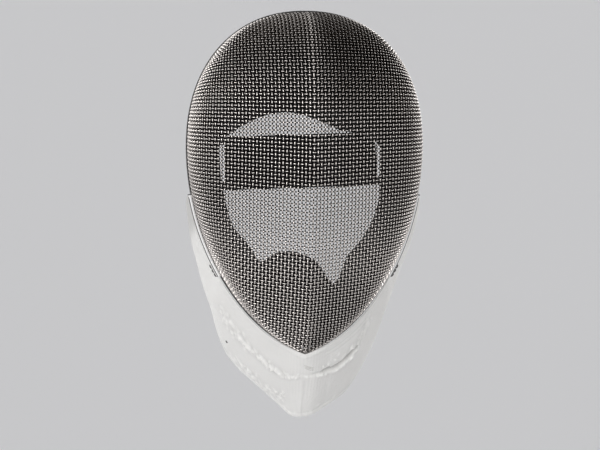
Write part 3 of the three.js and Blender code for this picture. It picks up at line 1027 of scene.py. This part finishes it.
def bib_relief(share, fall, length):
    """Relief of the bib in millimetres out from its smooth face: the whole, and its small forms alone"""
    along = share * EAR_LENGTH
    down = fall * length
    to_edge = length - down
    below_fold = (fall - bib_fold(share, "fall")) * length
    lip = bib_fold(share, "lip")
    roll = ROLL_HEIGHT * hump(down, ROLL_DOWN, 2) * (1 - smooth(np.abs(along), 8, 26))
    lap = 0.6 * lip * hump(np.maximum(below_fold, 0), 0, LIP_REACH) * smooth(below_fold, -0.7, 0.5)
    groove = -0.8 * lip * hump(below_fold, -1.8, 1.5)
    pucker = puckered(along, {"fold": below_fold, "hem": to_edge})
    hem = HEM_HEIGHT * (1 - smooth(to_edge, HEM_WIDTH - 1, HEM_WIDTH + 1))
    hem = hem - HEM_GROOVE * hump(to_edge, HEM_WIDTH, 0.8)
    on_right = smooth(share, 0.06, 0.16) * (1 - smooth(share, 0.36, 0.44))
    seams = np.zeros_like(down)
    for row in BIB_SEAMS:
        where = on_right if row["right_only"] else 1
        seams = seams - row["depth"] * hump(down, row["down"], SEAM_WIDTH) * where
    ribs = RIB_HEIGHT * np.sin(2 * math.pi * along / RIB_PITCH) * hump(along, RIBS_ALONG, RIBS_SPREAD)
    ribs = ribs * (1 - smooth(down, 46, 62))
    pleat = PLEAT_HEIGHT * (1 - smooth(along, -0.6, 0.6)) * hump(np.minimum(along, 0), 0, PLEAT_REACH)
    pleat = pleat * smooth(below_fold, 1, 6)
    hollow = -CHEEK_HOLLOW * hump(share, 0.44, 0.05) * hump(fall, 0.35, 0.25)
    soft = 0.4 * np.sin(along / 17 + 1) * np.sin(down / 11) + 0.25 * np.sin(along / 7.3 + down / 9)
    small = pucker + hem + seams + ribs + pleat
    at_edge = np.clip(np.minimum(down, to_edge) / 2, 0, 1)
    return (roll + lap + groove + hollow + soft + small) * at_edge, small * at_edge


def bib_surface(share, fall):
    """Spots on the bib with the way out, half the thickness, the relief, its small part and the length"""
    base, length = bib_base(share, fall)
    step = 0.004
    across = bib_base(share + step, fall)[0] - bib_base(share - step, fall)[0]
    downward = bib_base(share, fall + step)[0] - bib_base(share, fall - step)[0]
    out = unit(np.cross(downward, across))
    half = mix(BIB_TOP_THICKNESS, BIB_THICKNESS, smooth(fall * length, 0, 14)) / 2
    return base, out, half, *bib_relief(share, fall, length), length


def hollows(relief):
    """How far each spot lies below the cloth round it, in millimetres"""
    around = relief
    for _ in range(HOLLOW_SPREAD):
        beside = np.roll(around, 1, 1) + np.roll(around, -1, 1)
        around = (around + np.roll(around, 1, 0) + np.roll(around, -1, 0) + beside) / 5
    return around - relief


def bib_painted_shade(share, fall, length, small):
    """Painted shade on the cloth: in its hollows and its fold, and behind the cord at the left ear; on the
    right a painted highlight along the hem with more shade just inside it
    """
    below_fold = (fall - bib_fold(share, "fall")) * length
    in_fold = hump(below_fold, -1.5, 1.2) * smooth(bib_fold(share, "lip"), 0.8, 2.6)
    to_edge = (1 - fall) * length
    # Painted highlight along the hem on the right, with painted shade just inside it
    hem_highlight_and_shade = smooth(share, 0.1, 0.4) * (hump(to_edge, 0, 2.2) - 1.1 * hump(to_edge, 6, 4))
    # Painted shade in the hollows of the small relief, over a base level
    cloth_shade = np.clip(PAINTED_SHADE_BASE + PAINTED_SHADE_IN_HOLLOWS * hollows(small) - PAINTED_SHADE_BASE * hem_highlight_and_shade, 0, PAINTED_SHADE_LIMIT)
    at_ear = SHADE_AT_EAR * smooth(-share, 0.78, 0.88)
    return np.maximum.reduce([cloth_shade, at_ear, SHADE_IN_FOLD * in_fold]).ravel()


def bib(finish):
    """The bib, with columns closer together under the chin, and the area of its outer face"""
    columns, rows = BIB_COLUMNS, BIB_ROWS
    even = np.linspace(-1, 1, columns)
    share = (even * mix(1, even**2, CLOSER_AT_CHIN))[None, :] * np.ones((rows, 1))
    fall = np.linspace(0, 1, rows)[:, None] * np.ones((1, columns))
    base, out, half, relief, small, length = bib_surface(share, fall)
    near_edge = np.minimum(fall, 1 - fall) * length
    near_end = (1 - np.abs(share)) * EAR_LENGTH
    round_edge = 1 - np.clip(np.minimum(near_edge, near_end) / EDGE_ROUNDING, 0, 1)
    plump = half * np.sqrt(np.maximum(1 - round_edge**2, 0.02))
    middle = base - out * half[..., None]
    outer = middle + out * (plump + relief)[..., None]
    inner = middle - out * (plump - INSIDE_RELIEF * relief)[..., None]
    points = np.concatenate([outer.reshape(-1, 3), inner.reshape(-1, 3)])
    count = rows * columns
    faces = grid_faces(rows, columns, flip=True).tolist() + grid_faces(rows, columns, count).tolist()
    corner = np.arange(count).reshape(rows, columns)
    border = np.concatenate([corner[0], corner[1:, -1], corner[-1, -2::-1], corner[-2:0:-1, 0]])
    after = np.roll(border, -1)
    faces += np.stack([border, after, after + count, border + count], -1).tolist()
    uv = np.stack([share * EAR_LENGTH, fall * length], -1).reshape(-1, 2)
    piece = add_piece("padded_bib", points, faces, finish, ["bib"], np.concatenate([uv, uv]))
    # Painted shade on both faces of the cloth
    painted_shade = bib_painted_shade(share, fall, length, small)
    paint(piece, "painted_shade", np.concatenate([painted_shade, painted_shade]))
    strips = np.cross(np.diff(outer, axis=0)[:, :-1], np.diff(outer, axis=1)[:-1])
    return piece, np.linalg.norm(strips, axis=-1).sum() * MM * MM


bib_piece, bib_area = bib(woven_white("bib_cloth", (0.92, 0.91, 0.888), 1.1))


# Stitches on the bib


def stitch(ends, radius, lift):
    """One stitch between two spots of the bib, each a share along it and a fall down it"""
    t = np.linspace(0, 1, 9)
    (share, fall), (far_share, far_fall) = ends
    base, out, _, relief, *_ = bib_surface(mix(share, far_share, t), mix(fall, far_fall, t))
    height = relief + lift * np.sin(math.pi * t) ** 0.5 - radius * 0.4
    return tube(base + out * height[:, None], out, radius, THREAD_CORNERS)


def add_threads(name, runs, finish):
    """Several threads as one piece, with no weave of their own"""
    points, faces = gather(runs)
    add_piece(name, points, faces, finish, [], np.zeros((len(points), 2)))


def sew(name, ends, radius, lift, finish):
    add_threads(name, [stitch(pair, radius, lift) for pair in ends], finish)


def stitch_row(start, end, count, filled):
    """Ends of stitches one after another along a line"""
    start, end = np.array(start), np.array(end)
    row = []
    for k in range(count):
        row.append((mix(start, end, k / count), mix(start, end, (k + filled) / count)))
    return row


TACK_FALLS = (0.17, 0.19, 0.21)
# Dark thread for the stitches, also used for the painted shadow beside the cords
dark_thread_and_shadow = thread("dark_thread_and_shadow", (0.10, 0.10, 0.10))
white_thread = thread("white_thread", (0.74, 0.73, 0.71))
cheek_left = stitch_row((-0.645, 0.035), (-0.575, 0.02), 3, 0.75)
cheek_right = stitch_row((0.645, 0.03), (0.575, 0.02), 3, 0.75)
sew("cheek_stitches", cheek_left + cheek_right, 0.45, 0.7, dark_thread_and_shadow)
tack_lines = [((-0.002, fall), (0.042, fall + 0.055)) for fall in TACK_FALLS]
sew("bar_tack", tack_lines, 0.3, 0.35, white_thread)
sew("dark_knot", [((-0.436, 0.636), (-0.428, 0.644))], 0.55, 0.5, dark_thread_and_shadow)


# Corded edge beside the rim


def piping(side, name, finish):
    lengths = np.linspace(PIPING_START, EAR_LENGTH, 140)
    spot = rim_frame(side * lengths)
    path = off_rim(spot, PIPING_OUTWARD, PIPING_AHEAD)
    ends = np.minimum(lengths - lengths[0], lengths[-1] - lengths)
    round_end = np.sqrt(np.clip(1 - (1 - np.clip(ends / 1.2, 0, 1)) ** 2, 0.05, 1))
    knob = 1 + 0.4 * hump(lengths, EAR_LENGTH - 1.6, 1.4)
    points, faces = tube(path, spot[2], PIPING_RADIUS * round_end * knob, PIPING_CORNERS)
    girth = 2 * math.pi * PIPING_RADIUS * np.arange(PIPING_CORNERS) / PIPING_CORNERS
    uv = cloth_grid(lengths, girth)
    add_piece("piping_" + name, points, faces, finish, ["bib_piping_" + name], uv)


def cord_shadow_and_threads(finish):
    """A dark line along the outer side of each cord, a painted shadow made as a thread, and the thread
    round its upper end
    """
    reach = PIPING_RADIUS + LOOP_ASIDE
    turn = np.linspace(-0.3, 0.7, 13) * math.pi
    runs = []
    for side in (-1, 1):
        spot = rim_frame(side * np.linspace(PIPING_START + 1, EAR_LENGTH - 2, 120))
        # Painted shadow: a dark thread where the cord's shadow falls
        cord_shadow = off_rim(spot, PIPING_OUTWARD + PIPING_RADIUS + CORD_SHADOW_ASIDE, PIPING_AHEAD - CORD_SHADOW_BEHIND)
        runs.append(tube(cord_shadow, spot[2], CORD_SHADOW_RADIUS, THREAD_CORNERS))
        spot = rim_frame(side * np.full(len(turn), EAR_LENGTH - 0.6))
        loop = off_rim(spot, PIPING_OUTWARD + reach * np.cos(turn), PIPING_AHEAD + reach * np.sin(turn))
        runs.append(tube(loop, unit(loop - loop.mean(0)), LOOP_RADIUS, THREAD_CORNERS))
    add_threads("cord_shadow_and_threads", runs, finish)


piping_finish = smooth_cord()
piping(-1, "left", piping_finish)
piping(1, "right", piping_finish)
cord_shadow_and_threads(dark_thread_and_shadow)


# Filling of the padded pieces


def swell(piece, sewn):
    """Let the filling press the cloth out between its seams, and keep that form"""
    scene = bpy.context.scene
    mesh = piece.data
    seams = piece.vertex_groups.new(name="sewn")
    seams.add([int(corner) for corner in sewn], 1.0, "REPLACE")
    filling = piece.modifiers.new("filling", "CLOTH")
    filling.settings.vertex_group_mass = "sewn"
    filling.settings.use_pressure = True
    filling.settings.uniform_pressure_force = FILLING_PRESSURE
    filling.settings.effector_weights.gravity = 0
    filling.point_cache.frame_start = 1
    filling.point_cache.frame_end = SWELL_FRAMES
    for step in range(1, SWELL_FRAMES + 1):
        scene.frame_set(step)
    rest = np.zeros(3 * len(mesh.vertices))
    pressed = np.zeros_like(rest)
    mesh.vertices.foreach_get("co", rest)
    shown = piece.evaluated_get(bpy.context.evaluated_depsgraph_get())
    shown.data.vertices.foreach_get("co", pressed)
    moved = (pressed - rest).reshape(-1, 3)
    far = np.linalg.norm(moved, axis=1, keepdims=True)
    moved = moved * np.minimum(1, SWELL_LIMIT * MM / np.maximum(far, 1e-9))
    mesh.vertices.foreach_set("co", rest + moved.ravel())
    mesh.update()
    piece.modifiers.remove(filling)
    piece.vertex_groups.remove(seams)
    scene.frame_set(1)


# Padded lining


def round_opening(radius, angle):
    """Across and up of spots at a distance from the middle of the face opening"""
    return OPENING_ACROSS + radius * np.cos(angle), OPENING_UP + radius * np.sin(angle)


def lining(name, table, ends, steps, finish):
    degrees = np.linspace(*ends, steps)
    angle = np.radians(degrees)
    free = read_table(table, "angle", "radius", degrees)
    half = LINING_THICKNESS / 2
    shares = np.linspace(0, 1, 22)

    def reach(is_inside):
        """How far out from the middle of the opening a test holds"""
        middle = np.zeros_like(angle)
        return solve(middle, middle + FAR_OUT, lambda radius: is_inside(*round_opening(radius, angle)))

    def layer(depth, way):
        """One face of the lining from the wires to its free edge, behind (1) or in front (-1)"""
        wires = reach(lambda across, up: face_depth(across, up, LINING_CLEARANCE) < depth)
        for share in shares:
            full = LINING_FULLNESS * math.sin(math.pi * share) ** 0.7 - LINING_SLACK
            back = mix(depth, LINING_EDGE_DEPTH + way * half, share) + way * full
            yield mix(wires - 1, free + half, share), back

    rim_here = reach(lambda across, up: np.abs(across) < rim_half_width(up))
    edge = rim_depth(round_opening(rim_here, angle)[1])
    at_chin = 1 - smooth(np.abs(degrees - OPENING_CHIN), 22, 44)
    rings = list(layer(edge - mix(LINING_SET_IN, CHIN_SET_IN, at_chin), 1))
    for turn in np.linspace(0, math.pi, 10)[1:-1]:
        rings.append((free + half - half * math.sin(turn), LINING_EDGE_DEPTH + half * math.cos(turn)))
    rings += list(layer(edge - LINING_SET_IN - LINING_THICKNESS, -1))[::-1]
    points = np.stack([drawn(*round_opening(radius, angle), back) for radius, back in rings], 1)
    size = len(rings)
    uv = cloth_grid(angle * LINING_RADIUS, np.arange(size) * LINING_RING_GAP)
    faces = bar_faces(steps, size)
    piece = add_piece("padded_" + name, points.reshape(-1, 3), faces, finish, [name], uv)
    corner = np.arange(steps * size).reshape(steps, size)
    at_edge = len(shares) + 4
    swell(piece, np.concatenate([corner[0], corner[-1], corner[:, 0], corner[:, -1], corner[:, at_edge]]))
    paint(piece, "handled", np.broadcast_to(np.arange(size) < at_edge, (steps, size)).ravel())


lining_finish = dark_cloth("lining_cloth", (0.004, 0.004, 0.0042), 1.6)
lining("head_lining", HEAD_OPENING, HEAD_LINING_ENDS, 200, lining_finish)
lining("chin_lining", CHIN_OPENING, CHIN_LINING_ENDS, 110, lining_finish)


# Pad and straps behind the head


def squared(values):
    """Sines or cosines pushed out, so that a circle turns into a square with round corners"""
    return np.sign(values) * np.abs(values) ** PAD_SQUARENESS


def back_pad(finish):
    turn = 2 * math.pi * np.arange(PAD_CORNERS) / PAD_CORNERS
    sine, cosine = math.sin(PAD_TURN), math.cos(PAD_TURN)
    middle = PAD_BACK + PAD_THICKNESS / 2
    points = []
    for face in (1, -1):
        for share in np.linspace(0, 1, PAD_RINGS)[::face]:
            thick = PAD_FIRST_SHARE * PAD_THICKNESS / 2 * (1 - share**4) ** 0.5
            across = PAD_ACROSS + squared(np.cos(turn)) * share * PAD_WIDTH / 2
            up = squared(np.sin(turn)) * share * PAD_HEIGHT / 2
            turned = (across * cosine + up * sine, PAD_UP - across * sine + up * cosine)
            points.append(drawn(*turned, middle + face * thick))
    points = np.array(points)
    faces = grid_faces(2 * PAD_RINGS, PAD_CORNERS, wrap_columns=True, flip=True).tolist()
    uv = points[..., [0, 2]].reshape(-1, 2)
    piece = add_piece("back_pad_cloth", points.reshape(-1, 3), faces, finish, ["back_pad"], uv)
    corner = np.arange(2 * PAD_RINGS * PAD_CORNERS).reshape(2 * PAD_RINGS, PAD_CORNERS)
    swell(piece, corner[PAD_RINGS - 1 : PAD_RINGS + 1].ravel())
    paint(piece, "handled", np.repeat(np.arange(2 * PAD_RINGS) < PAD_RINGS, PAD_CORNERS))


back_pad(dark_cloth("pad_cloth", (0.004, 0.004, 0.0043), 1.3))


SQUARE = np.array([(-1, -1), (1, -1), (1, 1), (-1, 1)])


def strap_run(up):
    """The strap's way from rim to rim round the back of the pad, as spots across and back"""
    flat = PAD_BACK + PAD_THICKNESS + FIT_GAP + STRAP_THICKNESS / 2
    rim_here = min(rim_half_width(up - STRAP_WIDTH / 2), rim_half_width(up + STRAP_WIDTH / 2))
    end = float(rim_here) - BAND_OUTSIDE - FIT_GAP - STRAP_THICKNESS / 2
    half = [
        (end, STRAP_END_BACK),
        (end, STRAP_END_BACK + 9),
        (end - 4, STRAP_END_BACK + 18),
        (PAD_WIDTH / 2 + 12, flat - 5),
        (PAD_WIDTH / 2 + 3, flat),
        (30, flat),
    ]
    knots = np.array([(-across, back) for across, back in half] + half[::-1], float)
    index = np.arange(len(knots))
    slope = (knots[np.minimum(index + 1, index[-1])] - knots[np.maximum(index - 1, 0)]) / 2
    run = []
    for k in index[:-1]:
        leave, arrive = knots[k] + slope[k] / 3, knots[k + 1] - slope[k + 1] / 3
        for t in np.linspace(0, 1, 30, endpoint=False):
            run.append(cubic(knots[k], leave, arrive, knots[k + 1], t))
    return np.array(run + [knots[-1]])


def strap(name, up, finish):
    run = strap_run(up)
    path = drawn(run[:, 0], up - run[:, 0] * math.tan(PAD_TURN), run[:, 1])
    way = unit(np.gradient(path, axis=0))
    aside = np.cross(np.array([0, 0, 1.0]), way)
    half = np.array([STRAP_WIDTH, STRAP_THICKNESS]) / 2
    profile = rounded(half * SQUARE, STRAP_ROUNDING)
    rings = path[:, None, :] + aside[:, None, :] * profile[None, :, 1, None]
    rings[..., 2] += profile[None, :, 0]
    faces = bar_faces(len(path), len(profile))
    uv = cloth_grid(run_lengths(path), profile[:, 0])
    add_piece("elastic_" + name, rings.reshape(-1, 3), faces, finish, ["strap_" + name], uv)


elastic_finish = ribbed_elastic()
strap_rise = PAD_HEIGHT / 2 - STRAP_WIDTH / 2
strap("upper", PAD_UP + strap_rise, elastic_finish)
strap("lower", PAD_UP - strap_rise, elastic_finish)


# Camera, floor and light

CAMERA_YAW = math.radians(4)
CAMERA_SPOT = drawn(-129.4, -61.0, -1695.1)
CAMERA_LENS = 137.2
FLOOR_SIZE = 12.0
FLOOR_LEVEL = -0.80


def set_camera():
    data = bpy.data.cameras.new("camera")
    data.sensor_fit = "HORIZONTAL"
    data.sensor_width = 36
    data.lens = CAMERA_LENS
    data.clip_end = 30
    camera = bpy.data.objects.new("camera", data)
    right = leaned(drawn(math.cos(CAMERA_YAW), 0, -math.sin(CAMERA_YAW)))
    ahead = leaned(drawn(math.sin(CAMERA_YAW), 0, math.cos(CAMERA_YAW)))
    upward = leaned(drawn(0, 1, 0))
    turn = Matrix(np.stack([right, upward, -ahead], -1).tolist()).to_4x4()
    camera.matrix_world = Matrix.Translation(as_worn(CAMERA_SPOT).tolist()) @ turn
    bpy.context.scene.collection.objects.link(camera)
    bpy.context.scene.camera = camera


def set_floor():
    finish = Finish("pale_floor", Specular_IOR_Level=0.2)
    cloud = finish.noise(900, 2)
    colour = finish.blend(cloud * 0.3, (0.84, 0.84, 0.855), (0.83, 0.83, 0.845))
    finish.show(Base_Color=colour, Roughness=0.9 + cloud * 0.05)
    mesh = bpy.data.meshes.new("floor")
    corners = [(*corner, FLOOR_LEVEL) for corner in (FLOOR_SIZE * SQUARE).tolist()]
    mesh.from_pydata(corners, [], [(0, 1, 2, 3)])
    mesh.materials.append(finish.material)
    floor = bpy.data.objects.new("floor", mesh)
    bpy.context.scene.collection.objects.link(floor)


SUNS = [
    dict(name="key", power=1.85, across=0.64, up=-0.02, back=0.77, width=42),
    dict(name="fill", power=1.25, across=-0.62, up=0.10, back=0.78, width=60),
    dict(name="left_edge", power=1.5, across=0.74, up=-0.5, back=-0.45, width=46),
    dict(name="right_edge", power=1.7, across=-0.74, up=-0.5, back=-0.45, width=46),
]


def set_light():
    scene = bpy.context.scene
    scene.view_settings.view_transform = "Standard"
    world = bpy.data.worlds.new("studio")
    world.use_nodes = True
    sky = world.node_tree.nodes["Background"]
    sky.inputs["Color"].default_value = (0.99, 0.99, 1.0, 1)
    sky.inputs["Strength"].default_value = 0.1
    scene.world = world
    for row in SUNS:
        data = bpy.data.lights.new(row["name"], "SUN")
        data.energy = row["power"]
        data.angle = math.radians(row["width"])
        lamp = bpy.data.objects.new(row["name"], data)
        way = unit(leaned(drawn(row["across"], row["up"], row["back"])))
        lamp.rotation_mode = "QUATERNION"
        lamp.rotation_quaternion = Vector(way.tolist()).to_track_quat("-Z", "Y")
        scene.collection.objects.link(lamp)


set_camera()
set_floor()
set_light()
